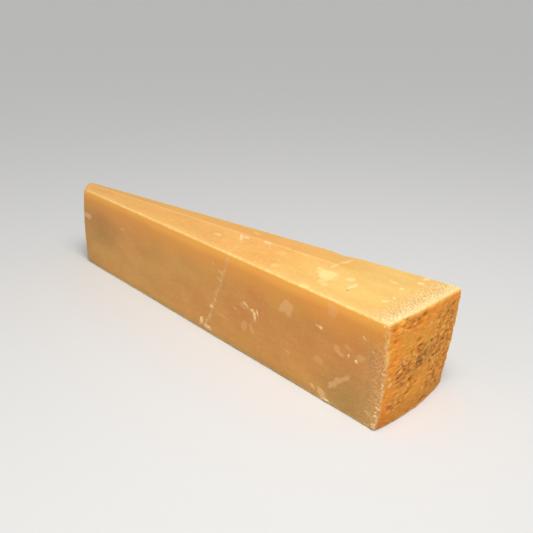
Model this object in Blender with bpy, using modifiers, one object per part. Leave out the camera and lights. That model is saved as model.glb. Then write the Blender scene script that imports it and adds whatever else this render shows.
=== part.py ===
"""A long narrow wedge of hard aged cheese, cut out of the middle height of a wheel.

Four faces are smooth knife cuts, the blunt tip is an oblique cut near the wheel's centre, and the wide end is the
pitted rind. Metres, +Z up. The wedge lies flat, with its length along X and its rind at +X.
"""

import math

import bmesh
import bpy
import numpy as np

# The wheel that the wedge was cut from
WHEEL_RADIUS = 0.2155
WEDGE_ANGLE = math.radians(9.1)
RIND_WIDTH = WHEEL_RADIUS * WEDGE_ANGLE

# The wedge itself
HEIGHT = 0.0325
TIP_NEAR_RADIUS = 0.0537
TIP_FAR_RADIUS = 0.0452
TIP_REACH = 0.0034
TIP_REACH_HEIGHT = 0.27
TIP_TOP_SHARE = 0.15
EDGE_ROUND = 0.0005
EDGE_SEGMENTS = 2
EDGE_ANGLE = math.radians(40)

# The heel of the wheel, at the wedge's near and far corners: how far the rind draws in at the base and at the top,
# how sharply it does so, and the share of the height at which it stands out most
NEAR_HEEL = {"base": 0.0026, "top": 0.0003, "power": 1.6, "widest": 0.62}
FAR_HEEL = {"base": 0.0036, "top": 0.0004, "power": 1.4, "widest": 0.97}
TOP_POWER = 1.5

# A faint ridge that the knife left along the top, with the strip beyond it sloping down a little
RIDGE_ACROSS = 0.34
STRIP_DROP = 0.0004

# A dent in the far top edge, where a crack runs out
DENT_FROM_RIND = 0.0390
DENT_LENGTH = 0.0038
DENT_WIDTH = 0.0022
DENT_DEPTH = 0.00045

# Pits in the rind, in uneven rows round the wheel
PIT_ROWS = 19
PIT_COLUMNS = 15
PIT_SPREAD = 0.45
PIT_LENGTH = (0.0007, 0.0015)
PIT_HEIGHT = (0.0005, 0.0008)
PIT_DEPTH = (0.0002, 0.0006)
PIT_SEED = 11

# The share of places with a pit: a few everywhere, and more in each patch, given as its middle and its reach
# (across and up, across from -1 at the near corner to 1 at the far one), and its share
PIT_FEW = 0.10
PIT_PATCHES = (
    (0.60, 0.50, 0.36, 0.42, 0.95),
    (-0.10, 0.55, 0.26, 0.13, 0.85),
    (-0.55, 0.48, 0.20, 0.16, 0.85),
    (-0.60, 0.19, 0.22, 0.09, 0.75),
    (-0.32, 0.32, 0.24, 0.09, 0.60),
    (-0.50, 0.92, 0.30, 0.06, 0.70),
)

# A slow swell of the rind, in waves with a random direction
SWELL_HEIGHT = 0.00022
SWELL_WAVES = 7
SWELL_LENGTH = (0.004, 0.014)
SWELL_SEED = 5

# The rind's relief fades out within this distance behind its outer surface
RELIEF_FADE = 0.0015

# How finely the block is divided: rows up the rind and across it, and stations along the length and round the dent
ROWS_UP = 52
ROWS_ACROSS = 55
STATIONS = 8
DENT_STATIONS = 9
MERGE_BEHIND = 0.0016
MERGE_ANGLE = math.radians(0.8)
FLAT_ANGLE = math.radians(0.2)

# Fine cracks, as (distance in front of the rind, height) on the near side and (distance, share across) on the top
CRACK_RADIUS = 0.00030
CRACK_SINK = 0.0002
NEAR_CRACK = ((0.0779, 0.0022), (0.0764, 0.0059), (0.0733, 0.0127), (0.0702, 0.0192), (0.0673, 0.0255))
NEAR_CRACK_EDGE = 0.0652
NEAR_CRACK_TOP = ((0.0668, -0.75), (0.0694, -0.42), (0.0710, -0.15), (0.0731, 0.14))
FAR_CRACK_TOP = ((0.0354, 0.32), (0.0350, 0.60), (0.0344, 0.90))

CHEESE_COLOUR = (0.83, 0.55, 0.25, 1.0)
CHEESE_ROUGHNESS = 0.5
SHARP_ANGLE = math.radians(35)


def clear_scene():
    """Removes whatever the file held."""
    for obj in list(bpy.data.objects):
        bpy.data.objects.remove(obj)


def collection(name):
    """A new collection in the scene."""
    made = bpy.data.collections.new(name)
    bpy.context.scene.collection.children.link(made)
    return made


def heel_drop(share_up, heel):
    """How far the rind draws in at a share of the height: a power curve below the widest point, and another above."""
    widest = heel["widest"]
    below = np.clip((widest - share_up) / widest, 0, 1) ** heel["power"]
    above = np.clip((share_up - widest) / (1 - widest), 0, 1) ** TOP_POWER
    return heel["base"] * below + heel["top"] * above


def rind_radius(across, share_up):
    """The smooth rind's distance from the wheel's axis, between the near corner's heel and the far corner's."""
    share = (across + 1) / 2
    drop = heel_drop(share_up, NEAR_HEEL) * (1 - share) + heel_drop(share_up, FAR_HEEL) * share
    return WHEEL_RADIUS - drop


def tip_radius(across, share_up):
    """The tip's distance from the wheel's axis: an oblique cut that reaches further in below the middle."""
    share = (across + 1) / 2
    above = (share_up - TIP_REACH_HEIGHT) / (1 - TIP_REACH_HEIGHT)
    reach = TIP_REACH * (1 - (1 - TIP_TOP_SHARE) * above**2)
    return TIP_NEAR_RADIUS * (1 - share) + TIP_FAR_RADIUS * share - reach


def top_height(across, radius):
    """The top face's height: flat up to the ridge, sloping down beyond it, with the dent in the far edge."""
    beyond = np.clip((across - RIDGE_ACROSS) / (1 - RIDGE_ACROSS), 0, 1) * radius / WHEEL_RADIUS
    along = (WHEEL_RADIUS - DENT_FROM_RIND - radius) / DENT_LENGTH
    inward = (1 - across) * radius * WEDGE_ANGLE / 2 / DENT_WIDTH
    dent = DENT_DEPTH * np.exp(-(along**2) - inward**2)
    return HEIGHT - STRIP_DROP * beyond - dent


def wedge_point(along, across, share_up):
    """The wedge's surface from shares of its length, width and height, about the wheel's axis: polar coordinates."""
    inner = tip_radius(across, share_up)
    radius = inner + along * (rind_radius(across, share_up) - inner)
    angle = across * WEDGE_ANGLE / 2
    height = share_up * top_height(across, radius)
    return np.stack([radius * np.cos(angle), radius * np.sin(angle), height], axis=-1)


def divided_block():
    """A unit cube cut by evenly spaced planes, with more along the length where the top has its dent."""
    block = bmesh.new()
    bmesh.ops.create_cube(block, size=1)
    even = np.linspace(0, 1, STATIONS + 1)[1:-1]
    round_dent = DENT_FROM_RIND + DENT_LENGTH * np.linspace(-2, 2, DENT_STATIONS)
    cuts = (
        np.concatenate([even, 1 - round_dent / (WHEEL_RADIUS - TIP_NEAR_RADIUS)]),
        np.append(np.linspace(0, 1, ROWS_ACROSS + 1)[1:-1], (RIDGE_ACROSS + 1) / 2),
        np.linspace(0, 1, ROWS_UP + 1)[1:-1],
    )
    for axis, shares in enumerate(cuts):
        normal = [float(i == axis) for i in range(3)]
        for share in shares:
            point = [(share - 0.5) * n for n in normal]
            everything = block.verts[:] + block.edges[:] + block.faces[:]
            bmesh.ops.bisect_plane(block, geom=everything, plane_co=point, plane_no=normal, dist=1e-6)
    mesh = bpy.data.meshes.new("cheese")
    block.to_mesh(mesh)
    block.free()
    return mesh


def vertex_array(mesh):
    """A mesh's vertices as an array with a row for each."""
    flat = np.zeros(len(mesh.vertices) * 3)
    mesh.vertices.foreach_get("co", flat)
    return flat.reshape(-1, 3)


def move_vertices(mesh, points):
    """Puts a mesh's vertices at these points."""
    mesh.vertices.foreach_set("co", points.ravel())
    mesh.update()


def evaluated_mesh(obj):
    """A copy of an object's mesh with its modifiers applied."""
    bpy.context.view_layer.update()
    return bpy.data.meshes.new_from_object(obj.evaluated_get(bpy.context.evaluated_depsgraph_get()))


def pit_share(across, share_up):
    """The share of places that have a pit: a few everywhere, and more towards the middle of each patch."""
    share = np.full(len(across), PIT_FEW)
    for middle, level, wide, tall, most in PIT_PATCHES:
        distance = ((across - middle) / wide) ** 2 + ((share_up - level) / tall) ** 2
        share = np.maximum(share, most * np.exp(-(distance**2)))
    return share


def pits():
    """Each pit in the rind as (place round the wheel, height, half length, half height, depth)."""
    rng = np.random.default_rng(PIT_SEED)
    row, column = np.meshgrid(np.arange(PIT_ROWS), np.arange(PIT_COLUMNS), indexing="ij")
    count = row.size
    across = (column.ravel() + 0.5 + rng.uniform(-PIT_SPREAD, PIT_SPREAD, count)) / PIT_COLUMNS * 2 - 1
    share_up = (row.ravel() + 0.5 + rng.uniform(-PIT_SPREAD, PIT_SPREAD, count) / 2) / PIT_ROWS
    length = rng.uniform(*PIT_LENGTH, count)
    tall = rng.uniform(*PIT_HEIGHT, count)
    depth = rng.uniform(*PIT_DEPTH, count)
    kept = rng.uniform(0, 1, count) < pit_share(across, share_up)
    return np.stack([across * RIND_WIDTH / 2, share_up * HEIGHT, length, tall, depth], axis=-1)[kept]


def rind_relief(round_wheel, height):
    """How far the rind lies below its smooth form: the deepest of its round-bottomed pits, and a slow swell."""
    depth = np.zeros(len(round_wheel))
    for place, level, length, tall, deep in pits():
        distance = ((round_wheel - place) / length) ** 2 + ((height - level) / tall) ** 2
        depth = np.maximum(depth, deep * np.exp(-distance))
    rng = np.random.default_rng(SWELL_SEED)
    for turn, wave, start in zip(
        rng.uniform(0, math.pi, SWELL_WAVES),
        rng.uniform(*SWELL_LENGTH, SWELL_WAVES),
        rng.uniform(0, 2 * math.pi, SWELL_WAVES),
    ):
        along_wave = round_wheel * math.cos(turn) + height * math.sin(turn)
        depth = depth + SWELL_HEIGHT / SWELL_WAVES * np.sin(2 * math.pi * along_wave / wave + start)
    return depth


def behind_rind(points):
    """How far points about the wheel's axis lie behind the smooth rind, with their radius and angle."""
    radius = np.hypot(points[:, 0], points[:, 1])
    angle = np.arctan2(points[:, 1], points[:, 0])
    across = np.clip(angle / (WEDGE_ANGLE / 2), -1, 1)
    return rind_radius(across, np.clip(points[:, 2] / HEIGHT, 0, 1)) - radius, radius, angle


def pit_the_rind(mesh):
    """Moves the rind's vertices towards the wheel's axis by the relief, which fades out behind the surface."""
    points = vertex_array(mesh)
    behind, radius, angle = behind_rind(points)
    weight = np.clip(1 - behind / RELIEF_FADE, 0, 1)
    moved = radius - weight * rind_relief(WHEEL_RADIUS * angle, points[:, 2])
    points[:, 0], points[:, 1] = moved * np.cos(angle), moved * np.sin(angle)
    move_vertices(mesh, points)


def merge_cut_faces(mesh):
    """Joins the small faces of the knife cuts and the tip where they are nearly flat. The rind keeps all of its own."""
    behind = behind_rind(vertex_array(mesh))[0]
    block = bmesh.new()
    block.from_mesh(mesh)
    block.verts.ensure_lookup_table()
    cut = [vert for vert, distance in zip(block.verts, behind) if distance > MERGE_BEHIND]
    inside = set(cut)
    edges = [edge for edge in block.edges if edge.verts[0] in inside and edge.verts[1] in inside]
    bmesh.ops.dissolve_limit(block, angle_limit=MERGE_ANGLE, verts=cut, edges=edges)
    block.to_mesh(mesh)
    block.free()


def shaped_wedge(parts):
    """The wedge as one object: the divided cube bent to shape, its edges rounded, then its rind pitted."""
    mesh = divided_block()
    share = vertex_array(mesh) + 0.5
    move_vertices(mesh, wedge_point(share[:, 0], share[:, 1] * 2 - 1, share[:, 2]))
    cheese = bpy.data.objects.new("cheese", mesh)
    parts.objects.link(cheese)
    rounding = cheese.modifiers.new("rounded_edges", "BEVEL")
    rounding.width = EDGE_ROUND
    rounding.segments = EDGE_SEGMENTS
    rounding.limit_method = "ANGLE"
    rounding.angle_limit = EDGE_ANGLE
    rounded = evaluated_mesh(cheese)
    cheese.modifiers.clear()
    cheese.data = rounded
    pit_the_rind(rounded)
    merge_cut_faces(rounded)
    return cheese


def near_side_point(from_rind, height):
    """A point on the near cut face, by its distance in front of the rind and its height."""
    radius = WHEEL_RADIUS - from_rind
    angle = -WEDGE_ANGLE / 2
    return radius * math.cos(angle), radius * math.sin(angle), height


def top_point(from_rind, across):
    """A point on the top face, by its distance in front of the rind and its share of the half width."""
    radius = WHEEL_RADIUS - from_rind
    angle = across * WEDGE_ANGLE / 2
    return radius * math.cos(angle), radius * math.sin(angle), float(top_height(across, radius))


def crack_cutter(name, points, cutters):
    """A four-sided rod along a crack, whose inner half cuts a V-shaped groove. Its caps are welded."""
    curve = bpy.data.curves.new(name, "CURVE")
    curve.dimensions = "3D"
    curve.bevel_depth = CRACK_RADIUS
    curve.bevel_resolution = 0
    curve.use_fill_caps = True
    spline = curve.splines.new("POLY")
    spline.points.add(len(points) - 1)
    for point, place in zip(spline.points, points):
        point.co = (*place, 1)
    rod = bpy.data.objects.new(name, curve)
    cutters.objects.link(rod)
    mesh = evaluated_mesh(rod)
    bpy.data.objects.remove(rod)
    welded = bmesh.new()
    welded.from_mesh(mesh)
    bmesh.ops.remove_doubles(welded, verts=welded.verts, dist=1e-6)
    bmesh.ops.recalc_face_normals(welded, faces=welded.faces)
    welded.to_mesh(mesh)
    welded.free()
    cutter = bpy.data.objects.new(name, mesh)
    cutter.hide_render = True
    cutter.display_type = "WIRE"
    cutters.objects.link(cutter)


def crack_the_faces(cheese, cutters):
    """Cuts the crack that crosses the near side and half of the top, and the short one that ends at the dent."""
    near_top_edge = near_side_point(NEAR_CRACK_EDGE, HEIGHT - CRACK_SINK)
    near = [near_side_point(*place) for place in NEAR_CRACK]
    top = [top_point(*place) for place in NEAR_CRACK_TOP]
    far = [top_point(*place) for place in FAR_CRACK_TOP]
    crack_cutter("near_crack", [*near, near_top_edge, *top], cutters)
    crack_cutter("far_crack", far, cutters)
    cut = cheese.modifiers.new("cracks", "BOOLEAN")
    cut.operation = "DIFFERENCE"
    cut.solver = "EXACT"
    cut.operand_type = "COLLECTION"
    cut.collection = cutters
    flat = cheese.modifiers.new("flat_faces", "DECIMATE")
    flat.decimate_type = "DISSOLVE"
    flat.angle_limit = FLAT_ANGLE


def stand_on_base(cheese):
    """Puts the origin at the middle of the base."""
    mesh = evaluated_mesh(cheese)
    points = vertex_array(mesh)
    middle = (points.min(axis=0) + points.max(axis=0)) / 2
    points -= (middle[0], middle[1], points[:, 2].min())
    move_vertices(mesh, points)
    cheese.modifiers.clear()
    cheese.data = mesh


def cheese_material():
    """The paste's golden cream colour, with a waxy sheen."""
    material = bpy.data.materials.new("aged_cheese")
    material.use_nodes = True
    shader = material.node_tree.nodes["Principled BSDF"]
    shader.inputs["Base Color"].default_value = CHEESE_COLOUR
    shader.inputs["Roughness"].default_value = CHEESE_ROUGHNESS
    return material


def build():
    """The whole object: one piece of cheese."""
    clear_scene()
    parts = collection("cheese_wedge")
    cutters = collection("cutters")
    cheese = shaped_wedge(parts)
    crack_the_faces(cheese, cutters)
    stand_on_base(cheese)
    cheese.data.materials.append(cheese_material())
    cheese.data.shade_smooth()
    cheese.data.set_sharp_from_angle(angle=SHARP_ANGLE)


build()
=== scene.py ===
"""The look of a long narrow wedge of hard aged cheese, lying on a pale floor.

The wedge is one closed surface, worked out in arrays over the solid's own form: smooth knife cuts, a ridge, a
dent, fine cracks and a pitted rind. A few crumbs cling to it. Metres, +Z up, with the rind at +X.
"""

import itertools
import math
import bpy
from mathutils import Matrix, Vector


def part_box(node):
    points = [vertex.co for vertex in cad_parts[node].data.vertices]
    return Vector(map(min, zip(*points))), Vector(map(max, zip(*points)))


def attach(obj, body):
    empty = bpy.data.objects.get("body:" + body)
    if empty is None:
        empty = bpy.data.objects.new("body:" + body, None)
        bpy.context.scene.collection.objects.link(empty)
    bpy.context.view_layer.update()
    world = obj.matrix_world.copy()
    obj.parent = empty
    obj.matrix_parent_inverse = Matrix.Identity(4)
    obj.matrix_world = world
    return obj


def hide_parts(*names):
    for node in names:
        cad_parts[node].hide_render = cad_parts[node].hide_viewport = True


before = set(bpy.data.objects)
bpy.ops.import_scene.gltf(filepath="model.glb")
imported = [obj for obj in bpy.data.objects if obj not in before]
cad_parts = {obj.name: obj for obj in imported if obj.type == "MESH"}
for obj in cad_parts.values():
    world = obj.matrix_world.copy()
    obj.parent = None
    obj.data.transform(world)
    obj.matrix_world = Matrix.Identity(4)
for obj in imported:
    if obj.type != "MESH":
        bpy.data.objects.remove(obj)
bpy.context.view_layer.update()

from types import SimpleNamespace

import bpy
import numpy as np

LOW, HIGH = (np.array(corner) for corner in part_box("cheese"))
MM = 0.001

# The wheel and the wedge cut from it, as the solid has them
WHEEL_RADIUS = 215.5 * MM
WHEEL_AXIS_X = HIGH[0] - WHEEL_RADIUS - 0.05 * MM
WEDGE_ANGLE = math.radians(9.1)
RIND_WIDTH = WHEEL_RADIUS * WEDGE_ANGLE
HEIGHT = HIGH[2]
TIP_NEAR_RADIUS = 53.7 * MM
TIP_FAR_RADIUS = 45.2 * MM
TIP_REACH = 3.4 * MM
TIP_REACH_HEIGHT = 0.27
TIP_TOP_SHARE = 0.15
TIP_FULLNESS = 0.7 * MM
TIP_DROOP = 0.8 * MM
TIP_DROOP_LENGTH = 3.5 * MM
NEAR_HEEL = {"base": 2.6 * MM, "top": 0.3 * MM, "power": 1.6, "widest": 0.62}
FAR_HEEL = {"base": 3.6 * MM, "top": 0.4 * MM, "power": 1.4, "widest": 0.97}
TOP_POWER = 1.5
FOOT_FULLNESS = 1.2 * MM
FOOT_SHARE = 0.4
RIDGE_ACROSS = 0.34
STRIP_DROP = 0.4 * MM
DENT_FROM_RIND = 39 * MM
DENT_LENGTH = 3.8 * MM
DENT_WIDTH = 2.2 * MM
DENT_DEPTH = 0.45 * MM
EDGE_ROUND = 0.55 * MM
TIP_ROUND = 1.5 * MM
TIP_ROUND_LENGTH = 5 * MM

# The rind's pits, as the solid has them, and its slow swell. A patch of pits is (place across from -1 to 1,
# share of the height, half width, half height, share of its places that have a pit)
PIT_ROWS = 19
PIT_COLUMNS = 15
PIT_SPREAD = 0.45
PIT_LENGTH = (0.7 * MM, 1.5 * MM)
PIT_HEIGHT = (0.5 * MM, 0.8 * MM)
PIT_DEPTH = (0.2 * MM, 0.6 * MM)
PIT_SEED = 11
PIT_FEW = 0.10
PIT_PATCHES = (
    (0.60, 0.50, 0.36, 0.42, 0.95),
    (-0.10, 0.55, 0.26, 0.13, 0.85),
    (-0.55, 0.48, 0.20, 0.16, 0.85),
    (-0.60, 0.19, 0.22, 0.09, 0.75),
    (-0.32, 0.32, 0.24, 0.09, 0.60),
    (-0.50, 0.92, 0.30, 0.06, 0.70),
)
SWELL_HEIGHT = 0.22 * MM
SWELL_WAVES = 7
SWELL_LENGTH = (4 * MM, 14 * MM)
SWELL_SEED = 5
PIT_FADE = 1.5 * MM

# Fine relief. Layers of noise are (height, size of the features, seed), in millimetres, but the heights of
# CRACK_BREAKS and CHIPS are shares. Most pairs say where something starts and where it is whole
KNIFE_WAVES = ((0.05, 13, 1), (0.025, (9, 3, 3), 2))
DRY_WANDER = ((0.8, 3, 3),)
DRY_FADE = (3.5 * MM, 10 * MM)
SAND = ((0.07, 0.75, 4), (0.05, 1.6, 5))
RIDGE_RISE = 0.09 * MM
RIDGE_HALF_WIDTH = 0.3 * MM
RIDGE_TINT_HALF_WIDTH = 0.5 * MM
RIDGE_START = (34 * MM, 37 * MM)
BEYOND_RIDGE = (0, 0.6 * MM)
CRACK_WANDER = 0.45 * MM
CRACK_WANDER_SIZE = 2.2 * MM
CRACK_WANDER_SEEDS = (21, 22, 23)
CRACK_MEAN = 0.6
CRACK_BREAKS = ((0.4, 2.5, 6),)
CRACK_DEPTH = 0.10 * MM
CRACK_HALF_WIDTH = 0.25 * MM
LIP_RISE = 0.05 * MM
LIP_FROM_CRACK = 0.6 * MM
LIP_HALF_WIDTH = 0.3 * MM
EDGE_NEARNESS = 0.55 * MM
PALE_EDGE_FROM_TIP = (1 * MM, 5 * MM)
CHIPS = ((1.0, 1.3, 7), (0.5, 0.6, 8))
CHIP_LIMITS = (-0.2, 1)
CHIP_DEPTH = 0.10 * MM
RIND_CHIP_DEPTH = 0.16 * MM
RIND_CHIP_FADE = (0.5 * MM, 2 * MM)
CRUST = ((0.06, (9, 2.4, 0.62), 9), (0.09, 1.1, 10))
CRUST_LEAST = 0.35

# How far a direction has to point one way for the surface to count as that side, from not at all to wholly
FACING_OUT = (0.45, 0.85)
FACING_UP = (0.3, 0.8)
FACING_DOWN = (0.2, 0.7)
FACING_AWAY = (0.4, 0.8)

# Cracks: (distance in front of the rind, height) on the near side, (distance, share across) on the top
NEAR_CRACK = (
    (78.3, 2.6), (76.4, 6.0), (74.8, 9.0), (73.3, 12.5), (72.0, 15.5), (70.6, 18.3), (68.8, 21.5),
    (67.9, 23.9), (66.5, 26.8), (65.4, 29.5), (64.6, 32.5),
)
TOP_CRACK = ((64.6, -1.0), (66.5, -0.77), (68.0, -0.52), (69.6, -0.26), (70.8, -0.07), (73.3, 0.10))
FAR_CRACK = ((36.3, 0.28), (35.4, 0.42), (34.8, 0.65), (34.2, 0.92))

# Cells along the wedge, across it and up it, finer by so many times between two distances in millimetres:
# from the rind along the wedge, from the near side across it and from the base up it
CELLS_ALONG = 210
CELLS_ACROSS = 100
CELLS_UP = 92
FINE_ALONG = ((0, 0.7, 6.0), (0.7, 9.0, 3.3), (33, 42, 3.3), (62, 80, 3.3), (166.5, 168, 5.0))
FINE_ACROSS = ((0, 0.9, 2.0), (21.0, 23.0, 2.0), (33.3, 34.2, 2.0))
FINE_UP = ((0, 0.9, 2.0), (31.6, 32.5, 2.0))
LENGTH_SPAN = 168 * MM
PLACE_SAMPLES = 4000

# The camera and the stage. A light is (name, kind, place, width in degrees or millimetres, power)
FOCAL_PIXELS = 700
IMAGE_PIXELS = 533
SENSOR_WIDTH = 36
CAMERA_PLACE = (HIGH[0] + 86.65 * MM, -147.2 * MM, 110.6 * MM)
CAMERA_PITCH = math.radians(22.10)
CAMERA_AZIMUTH = math.radians(45)
NEAREST_SEEN = 10 * MM
FLOOR_HALF = 12.0
FLOOR_COLOUR = (0.72, 0.715, 0.70, 1)
FLOOR_ROUGHNESS = 0.9
SURROUND_STRENGTH = 0.3
LIGHTS = (
    ("key", "SUN", (0.3, -0.16, 0.7), 25, 1.32),
    ("near", "AREA", (0.14, -0.06, 0.29), 120, 0.46),
    ("fill", "AREA", (0.02, -0.36, 0.15), 260, 0.145),
)


def linear(red, green, blue):
    """A colour from its screen values, 0 to 255, to the shader's linear values."""
    share = np.array([red, green, blue]) / 255
    return (*np.where(share <= 0.04045, share / 12.92, ((share + 0.055) / 1.055) ** 2.4), 1.0)


# Colours. PASTE_DEEP, the tip's yellowing shade and the shades multiply what lies under them; the shades are
# painted shade
PASTE_TOP = linear(239, 177, 92)
PASTE_GOLD = linear(237, 194, 109)
# The sides' paste: darker than the top's, partly its own tone and partly painted shade
PASTE_OCHRE = linear(221, 162, 76)
PASTE_PINK = linear(223, 151, 70)
PASTE_DEEP = linear(236, 222, 200)
PASTE_PALE = linear(255, 208, 136)
# Painted shade on the cut sides: towards the tip, together with the tip's own yellower tone, in a patch by
# the tip and along the foot
TIP_YELLOW_AND_SHADE = linear(226, 244, 224)
TIP_SHADE = linear(232, 234, 226)
FOOT_SHADE = linear(224, 236, 253)
# A painted glow under the sides' top edges, for light that enters the top and shows through the paste
PAINTED_GLOW_AMBER = linear(240, 163, 66)
PAINTED_GLOW_GOLD = linear(255, 185, 77)
STRIP = linear(226, 162, 82)
FLECK = linear(255, 226, 172)
VEIL_COOL = linear(248, 202, 142)
VEIL_WARM = linear(255, 222, 150)
# Pale edges and ridge line: partly crumbly paste, and along the rounded edges partly a painted highlight
EDGE_PALE = linear(255, 214, 150)
SAND_PALE = linear(255, 228, 168)
SAND_TAN = linear(210, 155, 92)
DRY_TAN = linear(216, 154, 88)
DRY_LINE = linear(190, 138, 70)
RIND_ORANGE = linear(250, 150, 33)
RIND_OCHRE = linear(241, 158, 46)
RIND_BROWN = linear(205, 112, 40)
# Painted shade in the rind's pits and hollows; the crest colour is partly a painted highlight on its crests,
# and also the pale of its rows and rims
RIND_PIT_SHADE = linear(144, 66, 22)
RIND_CREST = linear(255, 187, 84)
RIND_GREEN = linear(96, 100, 28)
# Painted shade towards the rind's foot
RIND_SHADE = linear(226, 224, 216)
RIND_FLECK = linear(255, 216, 148)
SPECK = linear(176, 118, 56)
CRUMB_DEEP = linear(238, 180, 110)
CRUMB_PALE = linear(255, 218, 156)

# The finish: the sizes of its clouds and grains
SLOW_CLOUD = 26 * MM
MIDDLING_CLOUD = 7 * MM
FINE_GRAIN = 0.8 * MM
STREAK = 0.6 * MM
DRY_CLOUD = 2.4 * MM
SAND_GRAIN = 0.45 * MM
LIP_CLOUD = 1.6 * MM
EDGE_CLOUD = 1.4 * MM
SPOT_SPACING = 9 * MM
SPOT_CLOUD = 2.5 * MM
RIND_CLOUD = 4.5 * MM
BROWN_CLOUD = 2.6 * MM
CREST_SIZE = 1.1 * MM
RIND_ROW = 0.5 * MM
CRUMB_CLOUD = 0.7 * MM

# Where its tints and its painted shade start and where they are whole, along an axis. A patch is (distance in
# front of the rind, height, half length, half height) in millimetres
TOP_GOLD_X = (28 * MM, 66 * MM)
SIDE_OCHRE_Z = (0.6 * HEIGHT, 0.0)
# Painted shade on the sides: towards the tip, together with its yellower tone, a patch by the tip, a patch by
# the rind's foot and a line along the foot
TIP_YELLOW_AND_SHADE_X = (-58 * MM, -80 * MM)
TIP_PATCH = (147, 19, 15, 13)
FOOT_PATCH = (10, 2, 20, 18)
FOOT_Z = (3.2 * MM, 0.8 * MM)
RIND_NEAR_Y = (-9 * MM, -14.5 * MM)
RIND_HIGH_Z = (26.5 * MM, 30 * MM)
RIM_NEAR_Y = (-14.8 * MM, -16.8 * MM)
RIM_NEAR_Z = (16 * MM, 24 * MM)
RIM_TOP_Z = (30.4 * MM, 32.2 * MM)
RIM_FAR_Y = (15.8 * MM, 16.9 * MM)
# Painted shade towards the rind's foot
RIND_SHADE_Z = (9 * MM, 2 * MM)

# The same in millimetres: behind the rind, below the top edges and from the nearest crack
DRY_BAND = (12.5, 3.5)
SAND_BAND = (3.5, 0.5)
DRY_LINE_INSIDE = (2.6, 4.8)
DRY_LINE_OUTSIDE = (7.0, 5.0)
STRIP_BEHIND = (14.0, 42.0)
# The painted glow under the top edges, amber and then gold
AMBER_GLOW_BAND = (14.0, 4.0)
GOLD_GLOW_BAND = (6.0, 2.6)
PALE_BAND = (5.0, 1.5)
LIP_BAND = (0.9, 0.3)
CRACK_BAND = (0.35, 0.08)

# The shaders' own values, and how the marks' outlines are torn and fade, in shares of their half sizes
ROUGHNESS = (0.48, 0.75)
SUBSURFACE_WEIGHT = {"cut": 0.8, "top": 0.8, "rind": 0.15}
SUBSURFACE_RADIUS = (1.0, 0.5, 0.25)
SUBSURFACE_SCALE = 4 * MM
SPECULAR_LEVEL = 0.35
BUMP_DISTANCE = 0.3 * MM
BUMP_STRENGTH = 0.9
CRUMB_ROUGHNESS = 0.7
FLECK_TEAR = {"size": 0.9 * MM, "amount": 0.45 * MM}
VEIL_TEAR = {"size": 2.6 * MM, "amount": 1.5 * MM}
FLECK_STRENGTH = 0.85
STAIN_STRENGTH = 0.8
MARK_FADE = (1.45, 0.85)
MARK_REACH = 3 * MM
PATCH_FADE = (1.0, 0.2)

# Marks, in millimetres and degrees. On the near side each is (distance in front of the rind, height, half
# length, half width, slant, strength), and on the top and the rind (place along X or Y, place along Y or Z,
# and the same)
SIDE_FLECKS = (
    (53.2, 16.9, 0.9, 0.5, -30, 1.0), (52.2, 15.6, 1.4, 0.6, -80, 1.0), (50.9, 17.0, 0.9, 0.4, -66, 0.8),
    (56.6, 18.1, 1.1, 0.4, -18, 0.8), (55.6, 17.4, 0.8, 0.4, -65, 0.4), (74.7, 10.9, 0.9, 0.6, -28, 0.7),
    (80.9, 3.4, 1.8, 0.7, 57, 0.7), (77.5, 2.2, 2.0, 0.8, -5, 0.7), (69.1, 24.9, 1.2, 0.4, -15, 0.35),
    (69.9, 22.2, 1.4, 0.4, -11, 0.3), (69.1, 9.5, 3.3, 0.3, -3, 0.2), (73.0, 26.8, 0.8, 0.4, -37, 0.2),
    (61.9, 14.7, 0.9, 0.3, -18, 0.3), (23.7, 22.7, 0.7, 0.5, -8, 0.9), (25.0, 22.9, 0.35, 0.3, 0, 0.7),
    (12.9, 18.5, 0.45, 0.35, 77, 0.9), (10.2, 18.0, 0.6, 0.3, -34, 0.9), (7.8, 25.9, 0.6, 0.3, -41, 0.5),
    (26.3, 3.0, 0.9, 0.4, -29, 0.55), (20.8, 0.7, 1.8, 0.5, -1, 0.8), (2.2, 4.8, 0.9, 0.4, -37, 0.7),
    (2.7, 1.4, 0.9, 0.5, -74, 0.9), (37.2, 9.7, 0.9, 0.3, -18, 0.3), (4.6, 23.1, 0.5, 0.4, -29, 0.4),
    (5.5, 4.4, 0.7, 0.4, -32, 0.4), (131.6, 22.9, 1.5, 0.3, 4, 0.3),
)
SIDE_VEILS = (
    (37.7, 23.6, 2.5, 1.6, 26, 0.65), (57.6, 17.4, 1.5, 1.0, -26, 0.4), (57.5, 10.3, 1.7, 1.2, -71, 0.4),
    (53.8, 10.9, 1.1, 0.8, -76, 0.4), (19.4, 29.6, 1.9, 1.7, -63, 0.4), (16.8, 18.3, 1.6, 0.9, -32, 0.5),
    (13.6, 20.9, 1.3, 0.7, -21, 0.4), (8.5, 19.4, 1.3, 1.0, -21, 0.5), (24.3, 12.5, 1.7, 0.9, 8, 0.35),
    (16.2, 9.0, 4.4, 0.8, 42, 0.7), (22.6, 2.2, 1.7, 1.3, -47, 1.0), (160.8, 21.5, 3.0, 1.1, 1, 0.9),
)
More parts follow.
